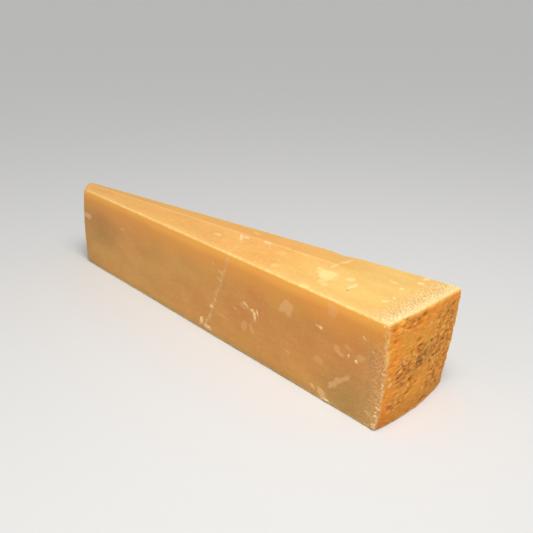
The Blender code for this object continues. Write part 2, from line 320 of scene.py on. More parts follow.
TOP_FLECKS = (
    (61.4, -1.3, 1.1, 1.0, 60, 0.6), (64.9, -4.7, 2.0, 0.6, 88, 0.7), (77.0, -6.2, 0.9, 0.6, 51, 0.8),
    (75.4, 3.6, 0.8, 0.7, 32, 0.7), (71.3, 5.7, 1.1, 0.6, 1, 0.4), (76.9, 10.8, 0.9, 0.8, 45, 0.7),
    (76.2, 15.1, 1.4, 0.6, 77, 0.6), (77.6, -3.0, 0.8, 0.4, -27, 0.8), (13.5, 1.1, 2.6, 0.45, -46, 0.8),
    (14.9, 2.1, 1.2, 0.7, -10, 0.7), (23.4, 3.5, 1.9, 0.8, -17, 0.5), (39.3, 3.9, 1.1, 0.5, -5, 0.4),
    (5.8, -2.4, 1.5, 0.7, -14, 0.4), (14.1, 7.7, 1.8, 0.6, -13, 0.3), (51.5, 3.6, 1.5, 0.5, 86, 0.5),
    (52.0, 8.5, 1.3, 0.6, 77, 0.5),
)
TOP_VEILS = (
    (54.6, -3.2, 2.5, 3.4, 55, 1.0), (50.2, -1.4, 1.5, 0.7, 15, 0.75), (56.4, -6.8, 1.2, 0.9, 60, 0.7),
    (57.7, -9.0, 1.7, 1.0, -17, 0.5), (55.2, -13.9, 1.4, 1.3, 11, 0.7),
    (33.2, -0.1, 1.8, 1.2, -16, 0.4), (38.9, -8.5, 1.3, 1.1, 34, 0.5),
)
TOP_SPECKS = ((65.5, -7.9, 0.45, 0.4, -18, 0.6), (33.5, 5.2, 0.5, 0.5, 15, 0.5))
RIND_FLECKS = (
    (16.6, 27.4, 0.5, 0.5, 10, 1.0), (1.9, 26.8, 0.5, 0.35, -20, 0.7), (-14.6, 14.3, 0.7, 0.6, 24, 1.0),
    (-15.3, 16.4, 0.35, 0.5, 61, 0.9), (2.7, 5.6, 0.35, 0.4, 12, 0.7), (-8.9, 20.4, 0.5, 0.4, 19, 0.5),
    (-9.1, 18.7, 0.7, 0.3, -45, 0.5), (10.5, 21.3, 0.4, 0.5, 23, 0.6), (-14.7, 11.1, 0.3, 0.3, -23, 0.5),
    (-13.4, 4.8, 0.25, 0.3, 19, 0.5),
)
RIND_STAINS = (
    (3.1, 21.0, 0.6, 0.5, 59, 0.9), (-0.6, 15.8, 0.8, 0.5, 79, 0.9), (-6.1, 20.1, 1.0, 0.35, 89, 0.5),
    (6.2, 15.1, 0.9, 0.4, -22, 0.8), (-6.0, 15.1, 0.5, 0.4, 17, 0.7), (-1.5, 18.6, 0.4, 0.35, 0, 0.7),
    (-3.2, 17.2, 0.35, 0.3, 30, 0.7), (0.8, 18.0, 0.35, 0.3, -30, 0.7), (-4.6, 18.9, 0.3, 0.3, 0, 0.6),
    (-2.4, 15.9, 0.4, 0.3, 60, 0.6), (1.0, 18.4, 3.4, 2.6, -22, 0.25), (-1.5, 14.0, 4.0, 2.2, 10, 0.15),
)
REGIONS = ("cut", "top", "rind")
MARKS = {
    "cut": {"flecks": SIDE_FLECKS, "veils": SIDE_VEILS, "stains": (), "fleck": FLECK, "veil": VEIL_COOL,
            "veil strength": 0.65, "stain": SPECK},
    "top": {"flecks": TOP_FLECKS, "veils": TOP_VEILS, "stains": TOP_SPECKS, "fleck": FLECK, "veil": VEIL_WARM,
            "veil strength": 0.75, "stain": SPECK},
    "rind": {"flecks": RIND_FLECKS, "veils": (), "stains": RIND_STAINS, "fleck": RIND_FLECK,
             "veil": VEIL_WARM, "veil strength": 0.75, "stain": RIND_GREEN},
}

# Crumbs on the near side, as (distance in front of the rind, height, half length, half width, slant), and the
# random ones along the rind's edge, whose ranges are in millimetres
CRUMBS = (
    (53.2, 16.9, 0.8, 0.4, -30), (52.2, 15.6, 1.2, 0.45, -80), (50.9, 17.0, 0.8, 0.35, -66),
    (80.9, 3.4, 1.5, 0.5, 57), (77.5, 2.2, 1.6, 0.6, -5), (74.7, 10.9, 0.7, 0.4, -28),
    (23.7, 22.7, 0.6, 0.4, -8), (12.9, 18.5, 0.4, 0.3, 77), (10.2, 18.0, 0.5, 0.25, -34),
    (20.8, 0.9, 1.4, 0.4, -1), (3.4, 1.6, 0.8, 0.5, -74), (2.6, 4.8, 0.8, 0.4, -37),
)
CRUMB_THICKNESS = 0.28 * MM
CRUMB_UNEVENNESS = 0.45
CRUMB_BUMP_SIZE = 0.8
CRUMB_NOISE_STEP = 10
CRUMB_AROUND = 8
CRUMB_RINGS = 3
CRUMB_SEED = 17
RIM_CRUMBS = 30
RIM_LENGTH = (0.22, 0.5)
RIM_WIDTH = (0.15, 0.35)
RIM_BEHIND = (0.1, 1.3)


def heel_drop(share_up, heel):
    """How far the rind draws in at a share of the height: a power curve below its widest level and above."""
    widest = heel["widest"]
    below = np.clip((widest - share_up) / widest, 0, 1) ** heel["power"]
    above = np.clip((share_up - widest) / (1 - widest), 0, 1) ** TOP_POWER
    return heel["base"] * below + heel["top"] * above


def rind_radius(across, share_up):
    """The smooth rind's distance from the wheel's axis, between the near corner's heel and the far one's.

    At the foot it is a little fuller towards the middle of its width, by a parabola.
    """
    share = (across + 1) / 2
    drop = heel_drop(share_up, NEAR_HEEL) * (1 - share) + heel_drop(share_up, FAR_HEEL) * share
    fuller = FOOT_FULLNESS * (1 - across**2) * np.clip(1 - share_up / FOOT_SHARE, 0, 1) ** 2
    return WHEEL_RADIUS - drop + fuller


def tip_radius(across, share_up):
    """The tip's distance from the wheel's axis: an oblique cut that reaches further in below the middle.

    It is a little fuller towards the middle of its width, by a parabola.
    """
    share = (across + 1) / 2
    above = (share_up - TIP_REACH_HEIGHT) / (1 - TIP_REACH_HEIGHT)
    reach = TIP_REACH * (1 - (1 - TIP_TOP_SHARE) * above**2) + TIP_FULLNESS * (1 - across**2)
    return TIP_NEAR_RADIUS * (1 - share) + TIP_FAR_RADIUS * share - reach


def top_height(across, radius):
    """The top's height: flat up to the ridge, sloping down beyond it, with the dent in the far edge."""
    beyond = np.clip((across - RIDGE_ACROSS) / (1 - RIDGE_ACROSS), 0, 1) * radius / WHEEL_RADIUS
    along = (WHEEL_RADIUS - DENT_FROM_RIND - radius) / DENT_LENGTH
    inward = (1 - across) * radius * WEDGE_ANGLE / 2 / DENT_WIDTH
    dent = DENT_DEPTH * np.exp(-(along**2) - inward**2)
    return HEIGHT - STRIP_DROP * beyond - dent


def about_axis(radius, across, height):
    """Points from their distance from the wheel's axis, share of the half angle and height."""
    angle = across * WEDGE_ANGLE / 2
    return np.stack([WHEEL_AXIS_X + radius * np.cos(angle), radius * np.sin(angle), height], axis=-1)


def near_side_point(from_rind, height):
    """A point on the near cut face, from millimetres in front of the rind and millimetres up."""
    return about_axis(WHEEL_RADIUS - from_rind * MM, -1.0, height * MM)


def top_point(from_rind, across):
    """A point on the top face, from millimetres in front of the rind and the share of the half width."""
    radius = WHEEL_RADIUS - from_rind * MM
    return about_axis(radius, across, top_height(across, radius))


def random_corner(corner, seed):
    """A value from -1 to 1 for each whole-number corner: its numbers times large primes, mixed by shifts."""
    mixed = corner @ np.array([374761393, 668265263, 1442695041]) + seed * 1274126177
    mixed = (mixed ^ (mixed >> 13)) * 1103515245
    mixed = mixed ^ (mixed >> 16)
    return (mixed & 0xFFFF) / 32767.5 - 1


def noise(points, cell, seed):
    """Smooth random values from -1 to 1: one at each corner of a grid of cells, blended by a cubic."""
    place = points / np.asarray(cell)
    corner = np.floor(place).astype(np.int64)
    blend = place - corner
    blend = blend * blend * (3 - 2 * blend)
    total = np.zeros(len(points))
    for step in itertools.product((0, 1), repeat=3):
        weight = np.prod(np.where(np.array(step) == 1, blend, 1 - blend), axis=1)
        total += weight * random_corner(corner + np.array(step), seed)
    return total


def layered_noise(points, layers):
    """The sum of layers of smooth noise, each with its height, size in millimetres and seed."""
    return sum(height * noise(points, np.multiply(size, MM), seed) for height, size, seed in layers)


def smooth_step(value, start, end):
    """0 up to the start, 1 from the end, and a cubic step between."""
    share = np.clip((value - start) / (end - start), 0, 1)
    return share * share * (3 - 2 * share)


def bell(distance, half_width):
    """A bell curve: 1 at no distance, and the exponential of minus the square of distance to half width."""
    return np.exp(-((distance / half_width) ** 2))


def cell_places(length, cells, fine):
    """Shares of a length where cells meet, with the cells of each fine zone smaller by so many times."""
    place = np.linspace(0, length, PLACE_SAMPLES)
    density = np.ones(PLACE_SAMPLES)
    for start, end, times in fine:
        within = (place >= start * MM) & (place <= end * MM)
        density = np.where(within, np.maximum(density, times), density)
    total = np.concatenate([[0], np.cumsum((density[1:] + density[:-1]) / 2)])
    return np.interp(np.linspace(0, total[-1], cells + 1), total, place) / length


def block_lattice():
    """Points on a block's six sides as shares (along, across, up), the faces between them and their regions.

    The points are those of a grid of cells that have at least one end share. Each side of the block takes its
    points' numbers from the grid, so neighbouring sides share the points of their common edge and the surface
    is closed. The regions are numbered as in REGIONS.
    """
    along = 1 - cell_places(LENGTH_SPAN, CELLS_ALONG, FINE_ALONG)[::-1]
    across = cell_places(RIND_WIDTH, CELLS_ACROSS, FINE_ACROSS)
    up = cell_places(HEIGHT, CELLS_UP, FINE_UP)
    grid = np.stack(np.meshgrid(along, across, up, indexing="ij"), axis=-1)
    outside = np.zeros(grid.shape[:3], bool)
    for axis in range(3):
        ends = np.moveaxis(outside, axis, 0)
        ends[0], ends[-1] = True, True
    number = np.full(outside.shape, -1)
    number[outside] = np.arange(outside.sum())
    quads = []
    regions = []
    for axis, last_region in enumerate(("rind", "cut", "top")):
        ends = np.moveaxis(number, axis, 0)
        for side, turned, region in ((ends[0], axis != 1, "cut"), (ends[-1], axis == 1, last_region)):
            corners = [side[:-1, :-1], side[1:, :-1], side[1:, 1:], side[:-1, 1:]]
            if turned:
                corners.reverse()
            quads.append(np.stack(corners, axis=-1).reshape(-1, 4))
            regions.append(np.full(len(quads[-1]), REGIONS.index(region)))
    return grid[outside], np.concatenate(quads), np.concatenate(regions)


def rounded_box(place, size, radius):
    """Points on a box's sides moved onto its round-edged form: out by the radius from a box inside it.

    Each point has its own box size and radius.
    """
    core = np.clip(place, radius, size - radius)
    outward = place - core
    return core + outward / np.linalg.norm(outward, axis=1, keepdims=True) * radius


def outward_normals(points, quads):
    """Each point's outward direction: the sum, over its faces, of the cross product of their diagonals."""
    corner = [points[quads[:, i]] for i in range(4)]
    face = np.cross(corner[2] - corner[0], corner[3] - corner[1])
    total = np.zeros_like(points)
    for i in range(4):
        np.add.at(total, quads[:, i], face)
    return total / np.linalg.norm(total, axis=1, keepdims=True)


def smooth_wedge(share):
    """The wedge without its relief, as points, with how far each lies from the nearest edge of its face.

    A share along, across and up becomes a place between the tip and the rind, the two cuts, and the base and
    the top. The top droops by a parabola close to the tip, and the edges are rounder there.
    """
    across = share[:, 1] * 2 - 1
    inner = tip_radius(across, share[:, 2])
    outer = rind_radius(across, share[:, 2])
    from_tip = share[:, 0] * (outer - inner)
    radius = inner + from_tip
    droop = TIP_DROOP * np.clip(1 - from_tip / TIP_DROOP_LENGTH, 0, 1) ** 2
    size = np.stack([outer - inner, radius * WEDGE_ANGLE, top_height(across, radius) - droop], axis=-1)
    place = share * size
    from_faces = np.sort(np.concatenate([place, size - place], axis=1), axis=1)
    at_tip = 1 - smooth_step(place[:, :1], 0, TIP_ROUND_LENGTH)
    place = rounded_box(place, size, EDGE_ROUND + (TIP_ROUND - EDGE_ROUND) * at_tip)
    points = about_axis(inner + place[:, 0], place[:, 1] / size[:, 1] * 2 - 1, place[:, 2])
    return points, from_faces[:, 1]


def pit_share(across, share_up):
    """The share of places that have a pit: a few everywhere, and more towards the middle of each patch."""
    share = np.full(len(across), PIT_FEW)
    for middle, level, wide, tall, most in PIT_PATCHES:
        distance = ((across - middle) / wide) ** 2 + ((share_up - level) / tall) ** 2
        share = np.maximum(share, most * np.exp(-(distance**2)))
    return share


def pits():
    """Each pit in the rind as (place round the wheel, height, half length, half height, depth)."""
    rng = np.random.default_rng(PIT_SEED)
    row, column = np.meshgrid(np.arange(PIT_ROWS), np.arange(PIT_COLUMNS), indexing="ij")
    count = row.size
    across = (column.ravel() + 0.5 + rng.uniform(-PIT_SPREAD, PIT_SPREAD, count)) / PIT_COLUMNS * 2 - 1
    share_up = (row.ravel() + 0.5 + rng.uniform(-PIT_SPREAD, PIT_SPREAD, count) / 2) / PIT_ROWS
    length = rng.uniform(*PIT_LENGTH, count)
    tall = rng.uniform(*PIT_HEIGHT, count)
    depth = rng.uniform(*PIT_DEPTH, count)
    kept = rng.uniform(0, 1, count) < pit_share(across, share_up)
    return np.stack([across * RIND_WIDTH / 2, share_up * HEIGHT, length, tall, depth], axis=-1)[kept]


def pit_depth(round_wheel, height):
    """How deep the rind's round-bottomed pits are at each point: the deepest where they meet."""
    depth = np.zeros(len(round_wheel))
    for place, level, length, tall, deep in pits():
        distance = ((round_wheel - place) / length) ** 2 + ((height - level) / tall) ** 2
        depth = np.maximum(depth, deep * np.exp(-distance))
    return depth


def swell_depth(round_wheel, height):
    """How far the rind lies below its smooth form: a sum of long waves, each with its own direction."""
    depth = np.zeros(len(round_wheel))
    rng = np.random.default_rng(SWELL_SEED)
    for turn, wave, start in zip(
        rng.uniform(0, math.pi, SWELL_WAVES),
        rng.uniform(*SWELL_LENGTH, SWELL_WAVES),
        rng.uniform(0, 2 * math.pi, SWELL_WAVES),
    ):
        along_wave = round_wheel * math.cos(turn) + height * math.sin(turn)
        depth = depth + SWELL_HEIGHT / SWELL_WAVES * np.sin(2 * math.pi * along_wave / wave + start)
    return depth


def path_distance(points, path):
    """Each point's distance from a line through several places: the least over its straight pieces."""
    nearest = np.full(len(points), np.inf)
    for start, end in zip(path[:-1], path[1:]):
        run = end - start
        share = np.clip((points - start) @ run / (run @ run), 0, 1)
        nearest = np.minimum(nearest, np.linalg.norm(points - start - share[:, None] * run, axis=1))
    return nearest


def crack_distance(points):
    """Each point's distance from the nearest crack, whose line wanders with a slow random shift."""
    shift = np.stack([noise(points, CRACK_WANDER_SIZE, seed) for seed in CRACK_WANDER_SEEDS], axis=-1)
    wandering = points + shift * CRACK_WANDER
    near = [near_side_point(*place) for place in NEAR_CRACK]
    top = [top_point(*place) for place in TOP_CRACK]
    far = [top_point(*place) for place in FAR_CRACK]
    return np.minimum(path_distance(wandering, near + top), path_distance(wandering, far))


def surface_places(points, normal, from_edge):
    """Where each point lies on the wedge: distances in metres, and shares from 0 to 1."""
    radius = np.hypot(points[:, 0] - WHEEL_AXIS_X, points[:, 1])
    angle = np.arctan2(points[:, 1], points[:, 0] - WHEEL_AXIS_X)
    across = np.clip(angle / (WEDGE_ANGLE / 2), -1, 1)
    half_width = radius * WEDGE_ANGLE / 2
    height = points[:, 2]
    up = np.clip(height / HEIGHT, 0, 1)
    behind = np.maximum(rind_radius(across, up) - radius, 0)
    on_top = smooth_step(normal[:, 2], *FACING_UP)
    far = smooth_step(normal[:, 1], *FACING_AWAY)
    under = smooth_step(-normal[:, 2], *FACING_AWAY)
    return SimpleNamespace(
        behind=behind,
        from_tip=radius - tip_radius(across, up),
        from_ridge=(across - RIDGE_ACROSS) * half_width,
        below_edge=(1 - np.abs(across)) * half_width + HEIGHT - height,
        from_crack=crack_distance(points),
        pit=pit_depth(WHEEL_RADIUS * angle, height),
        swell=swell_depth(WHEEL_RADIUS * angle, height),
        patch=pit_share(across, up),
        near_edge=bell(from_edge, EDGE_NEARNESS),
        on_top=on_top,
        with_ridge=smooth_step(behind, *RIDGE_START) * on_top,
        outer=smooth_step(normal[:, 0], *FACING_OUT),
        off_base=1 - smooth_step(-normal[:, 2], *FACING_DOWN),
        unseen=np.maximum(far, under),
    )


def cut_relief(points, at):
    """The cuts' relief: long waves from the knife, sandy grain by the rind and a thin line on the ridge."""
    wandering = at.behind + MM * layered_noise(points, DRY_WANDER)
    dry = (1 - smooth_step(wandering, *DRY_FADE)) * (1 - at.outer)
    sand = MM * layered_noise(points, SAND) * dry
    ridge = RIDGE_RISE * bell(at.from_ridge, RIDGE_HALF_WIDTH) * at.with_ridge
    return MM * layered_noise(points, KNIFE_WAVES) + sand + ridge


def crack_relief(points, at):
    """A groove along the cracks with a raised lip on each side, all bell curves, broken up by noise."""
    groove = CRACK_DEPTH * bell(at.from_crack, CRACK_HALF_WIDTH)
    lips = LIP_RISE * bell(at.from_crack - LIP_FROM_CRACK, LIP_HALF_WIDTH)
    return (lips - groove) * (CRACK_MEAN + layered_noise(points, CRACK_BREAKS))


def chip_relief(points, at):
    """Chips out of the edges, from clipped noise, deeper along the rind's."""
    ragged = np.clip(layered_noise(points, CHIPS), *CHIP_LIMITS)
    at_rind = 1 - smooth_step(at.behind, *RIND_CHIP_FADE)
    return -ragged * at.near_edge * (CHIP_DEPTH + RIND_CHIP_DEPTH * at_rind)


def rind_relief(points, at):
    """The rind's relief: its swell and pits, and fine rows and crust that are higher where pits crowd."""
    crust = MM * layered_noise(points, CRUST) * (CRUST_LEAST + at.patch)
    fade = np.clip(1 - at.behind / PIT_FADE, 0, 1)
    pits_shown = at.pit * fade * np.maximum(at.outer, at.near_edge * fade)
    return (crust - at.swell) * at.outer - pits_shown


def finished_wedge():
    """The wedge's points and faces with all relief, the values on its points, and the region of each face.

    Relief moves a point along its outward direction. The base stays flat.
    """
    share, quads, regions = block_lattice()
    points, from_edge = smooth_wedge(share)
    normal = outward_normals(points, quads)
    at = surface_places(points, normal, from_edge)
    relief = (cut_relief(points, at) + crack_relief(points, at)) * (1 - at.outer)
    relief = relief + chip_relief(points, at) + rind_relief(points, at)
    points = np.clip(points + normal * (relief * at.off_base)[:, None], LOW, HIGH)
    values = {
        "behind_rind": at.behind / MM,
        "rind": at.outer,
        "pit": np.clip(at.pit / PIT_DEPTH[1], 0, 1),
        "patch": at.patch,
        # The pale edges' mask: partly crumbly paste, partly a painted highlight on the rounded edges
        "edge": at.near_edge * smooth_step(at.from_tip, *PALE_EDGE_FROM_TIP),
        "below_edge": at.below_edge / MM,
        "crack": at.from_crack / MM,
        "side": 1 - at.on_top,
        "ridge": bell(at.from_ridge, RIDGE_TINT_HALF_WIDTH) * at.with_ridge,
        "beyond": smooth_step(at.from_ridge, *BEYOND_RIDGE) * at.on_top,
        "unseen": at.unseen,
    }
    return points, quads.tolist(), values, regions


def crumb_places():
    """Each crumb's middle, half length, half width and slant: the listed ones and random ones by the rind."""
    listed = np.array(CRUMBS)
    rng = np.random.default_rng(CRUMB_SEED)
    height = rng.uniform(1, HEIGHT / MM - 1, RIM_CRUMBS)
    drop = heel_drop(height * MM / HEIGHT, NEAR_HEEL) / MM
    rim = np.stack([
        drop + rng.uniform(*RIM_BEHIND, RIM_CRUMBS),
        height,
        rng.uniform(*RIM_LENGTH, RIM_CRUMBS),
        rng.uniform(*RIM_WIDTH, RIM_CRUMBS),
        rng.uniform(-90, 90, RIM_CRUMBS),
    ], axis=-1)
    rows = np.concatenate([listed, rim])
    return near_side_point(rows[:, 0], rows[:, 1]), rows[:, 2] * MM, rows[:, 3] * MM, np.radians(rows[:, 4])


def crumb_shapes():
    """All crumbs' points and faces: flat uneven balls, half sunk into the near side.

    Each is a ball of rings and two poles whose points lie at a random distance from its middle. It is scaled
    along the face, up it and outward, and turned by its slant in the face.
    """
    middle, half_length, half_width, slant = crumb_places()
    count = len(middle)
    turn = np.arange(CRUMB_AROUND) / CRUMB_AROUND * 2 * math.pi
    tilt = (np.arange(CRUMB_RINGS) + 1) / (CRUMB_RINGS + 1) * math.pi
    tilt, turn = np.meshgrid(tilt, turn, indexing="ij")
    ball = np.stack([np.sin(tilt) * np.cos(turn), np.sin(tilt) * np.sin(turn), np.cos(tilt)], axis=-1)
    ball = np.concatenate([ball.reshape(-1, 3), [[0, 0, 1], [0, 0, -1]]])
    apart = (np.arange(count)[:, None, None] * CRUMB_NOISE_STEP + ball).reshape(-1, 3)
    distance = 1 + CRUMB_UNEVENNESS * noise(apart, CRUMB_BUMP_SIZE, CRUMB_SEED).reshape(count, -1, 1)
    size = np.stack([half_length, half_width, np.full(count, CRUMB_THICKNESS)], axis=-1)
    local = ball * distance * size[:, None, :]
    along = local[..., 0] * np.cos(slant)[:, None] - local[..., 1] * np.sin(slant)[:, None]
    up = local[..., 0] * np.sin(slant)[:, None] + local[..., 1] * np.cos(slant)[:, None]
    half = WEDGE_ANGLE / 2
    towards_tip = np.array([-math.cos(half), math.sin(half), 0])
    outward = np.array([-math.sin(half), -math.cos(half), 0])
    points = middle[:, None] + along[..., None] * towards_tip + local[..., 2:] * outward
    points = points + up[..., None] * np.array([0, 0, 1])
    ring = np.arange(CRUMB_RINGS * CRUMB_AROUND).reshape(CRUMB_RINGS, CRUMB_AROUND)
    after = np.roll(ring, -1, axis=1)
    north, south = ring.size, ring.size + 1
    quads = np.stack([ring[:-1], ring[1:], after[1:], after[:-1]], axis=-1).reshape(-1, 4)
    caps = [(north, first, second) for first, second in zip(ring[0].tolist(), after[0].tolist())]
    caps += [(south, second, first) for first, second in zip(ring[-1].tolist(), after[-1].tolist())]
    faces = [
        [number + start for number in face]
        for start in range(0, count * len(ball), len(ball))
        for face in quads.tolist() + caps
    ]
    return np.clip(points.reshape(-1, 3), LOW, HIGH), faces


def new_object(name, data):
    """An object in the scene from its data."""
    made = bpy.data.objects.new(name, data)
    bpy.context.scene.collection.objects.link(made)
    return made


def mesh_object(name, points, faces, values, materials, regions):
    """An object at the origin from points and faces, with values on its points and a material per region."""
    mesh = bpy.data.meshes.new(name)
    mesh.from_pydata(points, [], faces)
    for title, numbers in values.items():
        layer = mesh.attributes.new(title, "FLOAT", "POINT")
        layer.data.foreach_set("value", np.asarray(numbers, np.float32))
    for material in materials:
        mesh.materials.append(material)
    mesh.polygons.foreach_set("material_index", np.asarray(regions, np.int32))
    mesh.shade_smooth()
    mesh.update()
    return new_object(name, mesh)


def new_material(name):
    """A material, its node tree and its shader's inputs."""
    material = bpy.data.materials.new(name)
    material.use_nodes = True
    return material, material.node_tree, material.node_tree.nodes["Principled BSDF"].inputs


def node(tree, kind, inputs=(), **settings):
    """A node with its settings. Its inputs, by name or number, are values or other nodes' outputs."""
    made = tree.nodes.new(kind)
    for name, value in settings.items():
        setattr(made, name, value)
    for name, value in dict(inputs).items():
        if isinstance(value, bpy.types.NodeSocket):
            tree.links.new(value, made.inputs[name])
        else:
            made.inputs[name].default_value = value
    return made


def maths(tree, operation, first, second=0.0, third=0.0):
    """The output of one sum on up to three values."""
    return node(tree, "ShaderNodeMath", {0: first, 1: second, 2: third}, operation=operation).outputs[0]


def product(tree, *values):
    """The values multiplied together."""
    result = values[0]
    for value in values[1:]:
        result = maths(tree, "MULTIPLY", result, value)
    return result


def ramp(tree, value, start, end, low=0.0, high=1.0):
    """A smooth step of a value from low to high."""
    inputs = {"Value": value, "From Min": start, "From Max": end, "To Min": low, "To Max": high}
    made = node(tree, "ShaderNodeMapRange", inputs, interpolation_type="SMOOTHSTEP")
    return made.outputs["Result"]


def mixed(tree, factor, first, second, blend="MIX"):
    """One colour mixed into another."""
    inputs = {0: factor, 6: first, 7: second}
    return node(tree, "ShaderNodeMix", inputs, data_type="RGBA", blend_type=blend).outputs[2]


def cloud(tree, place, size, detail=2.0, roughness=0.5, stretch=(1, 1, 1)):
    """A random pattern from 0 to 1 with features of a size, stretched along the axes."""
    scaled = node(tree, "ShaderNodeMapping", {"Vector": place, "Scale": [1 / (size * s) for s in stretch]})
    inputs = {"Vector": scaled.outputs[0], "Scale": 1.0, "Detail": detail, "Roughness": roughness}
    return node(tree, "ShaderNodeTexNoise", inputs).outputs["Fac"]


def shifted(tree, place, size, amount):
    """Places moved about at random by up to an amount, with features of a size."""
    inputs = {"Vector": place, "Scale": 1 / size, "Detail": 1.0}
    inputs = {0: node(tree, "ShaderNodeTexNoise", inputs).outputs["Color"], 1: (0.5, 0.5, 0.5)}
    centred = node(tree, "ShaderNodeVectorMath", inputs, operation="SUBTRACT").outputs[0]
    inputs = {0: centred, 1: (2 * amount,) * 3, 2: place}
    return node(tree, "ShaderNodeVectorMath", inputs, operation="MULTIPLY_ADD").outputs[0]


def attribute(tree, name):
    """One of the values on the piece's points."""
    return node(tree, "ShaderNodeAttribute", attribute_name=name).outputs["Fac"]


def new_group(name, inputs, outputs):
    """An empty node group with named inputs and outputs, given as their kinds, and its two end nodes."""
    group = bpy.data.node_groups.new(name, "ShaderNodeTree")
    for title, kind in inputs.items():
        group.interface.new_socket(title, in_out="INPUT", socket_type=kind)
    for title, kind in outputs.items():
        group.interface.new_socket(title, in_out="OUTPUT", socket_type=kind)
    return group, group.nodes.new("NodeGroupInput").outputs, group.nodes.new("NodeGroupOutput").inputs


def filled_group(tree, group, inputs):
    """A group as a node in another tree, with its inputs."""
    return node(tree, "ShaderNodeGroup", inputs, node_tree=group)


def soft_patch(tree, place, from_rind, height, half_length, half_height):
    """A soft patch on both cut sides, in millimetres: 1 in its middle, fading to 0 at its half sizes."""
    inputs = {"Vector": place, "Location": near_side_point(from_rind, height),
              "Scale": (half_length * MM, 1, half_height * MM)}
    local = node(tree, "ShaderNodeMapping", inputs, vector_type="TEXTURE").outputs[0]
    away = node(tree, "ShaderNodeVectorMath", {0: local}, operation="LENGTH").outputs["Value"]
    return ramp(tree, away, *PATCH_FADE)


def mark_group():
    """A soft-edged oval mark: 1 inside, 0 beyond its half sizes, about a middle and turned."""
    inputs = {"Place": "NodeSocketVector", "Middle": "NodeSocketVector", "Turn": "NodeSocketVector",
              "Half size": "NodeSocketVector", "Strength": "NodeSocketFloat", "Under": "NodeSocketFloat"}
    group, given, result = new_group("oval_mark", inputs, {"Mask": "NodeSocketFloat"})
    local = node(group, "ShaderNodeMapping", {"Vector": given["Place"], "Location": given["Middle"],
                 "Rotation": given["Turn"], "Scale": given["Half size"]}, vector_type="TEXTURE").outputs[0]
    away = node(group, "ShaderNodeVectorMath", {0: local}, operation="LENGTH").outputs["Value"]
    mask = maths(group, "MULTIPLY", ramp(group, away, *MARK_FADE), given["Strength"])
    group.links.new(maths(group, "MAXIMUM", mask, given["Under"]), result["Mask"])
    return group


def marks(tree, group, place, table, region):
    """The masks of a table's marks joined into one. The region says how a row's first numbers are read."""
    total = 0.0
    for first, second, half_length, half_width, slant, strength in table:
        turn = math.radians(slant)
        if region == "cut":
            middle, turns, deep = near_side_point(first, second), (0, -turn, 0), 1
        elif region == "top":
            middle, turns, deep = (first * MM, second * MM, HEIGHT), (0, 0, turn), 2
        else:
            middle, turns, deep = (HIGH[0] - MM, first * MM, second * MM), (turn, 0, 0), 0
        sizes = [half_length * MM, half_width * MM]
        sizes.insert(deep, MARK_REACH)
        inputs = {"Place": place, "Middle": middle, "Turn": turns, "Half size": sizes, "Strength": strength,
                  "Under": total}
        total = filled_group(tree, group, inputs).outputs["Mask"]
    return total


def paste_group():
    """The paste: golden tan with slow pinkish and ochre clouds, soft painted shade on the sides and fine
    grain.
    """
    inputs = {"Place": "NodeSocketVector", "Side": "NodeSocketFloat"}
    outputs = {"Colour": "NodeSocketColor", "Grain": "NodeSocketFloat", "Slow": "NodeSocketFloat"}
    group, given, result = new_group("paste", inputs, outputs)
    place, sideways = given["Place"], given["Side"]
    axes = node(group, "ShaderNodeSeparateXYZ", {0: place}).outputs
    slow = cloud(group, place, SLOW_CLOUD, 2.0, 0.5, (1.5, 1, 1))
    middling = cloud(group, place, MIDDLING_CLOUD, 3.0, 0.5, (2.2, 1, 1))
    fine = cloud(group, place, FINE_GRAIN, 2.0, 0.6)
    streaks = cloud(group, place, STREAK, 3.0, 0.6, (9, 1, 1))
    top = mixed(group, ramp(group, axes["X"], *TOP_GOLD_X), PASTE_TOP, PASTE_GOLD)
    # The sides' paste is darker than the top's: partly its own tone, partly painted shade
    side = mixed(group, ramp(group, slow, 0.35, 0.65), PASTE_OCHRE, PASTE_PINK)
    side = mixed(group, ramp(group, axes["Z"], *SIDE_OCHRE_Z, 0.0, 0.8), side, PASTE_OCHRE)
    # Painted shade towards the tip, partly the tip's own yellower tone, and a patch of painted shade by the
    # tip
    side = mixed(group, ramp(group, axes["X"], *TIP_YELLOW_AND_SHADE_X, 0.0, 0.5), side, TIP_YELLOW_AND_SHADE, "MULTIPLY")
    side = mixed(group, soft_patch(group, place, *TIP_PATCH), side, TIP_SHADE, "MULTIPLY")
    # Painted shade in a patch by the rind's foot and along the whole foot of the sides
    foot = soft_patch(group, place, *FOOT_PATCH)
    foot = maths(group, "MAXIMUM", foot, ramp(group, axes["Z"], *FOOT_Z, 0.0, 0.6))
    side = mixed(group, foot, side, FOOT_SHADE, "MULTIPLY")
    colour = mixed(group, sideways, top, side)
    colour = mixed(group, ramp(group, middling, 0.3, 0.7, 0.0, 0.5), colour, PASTE_DEEP, "MULTIPLY")
    grainy = ramp(group, sideways, 0.0, 1.0, 0.35, 0.12)
    colour = mixed(group, product(group, ramp(group, fine, 0.45, 0.75), grainy), colour, PASTE_PALE)
    colour = mixed(group, product(group, ramp(group, streaks, 0.5, 0.75), grainy), colour, PASTE_PALE)
    group.links.new(colour, result["Colour"])
    group.links.new(fine, result["Grain"])
    group.links.new(slow, result["Slow"])
    return group


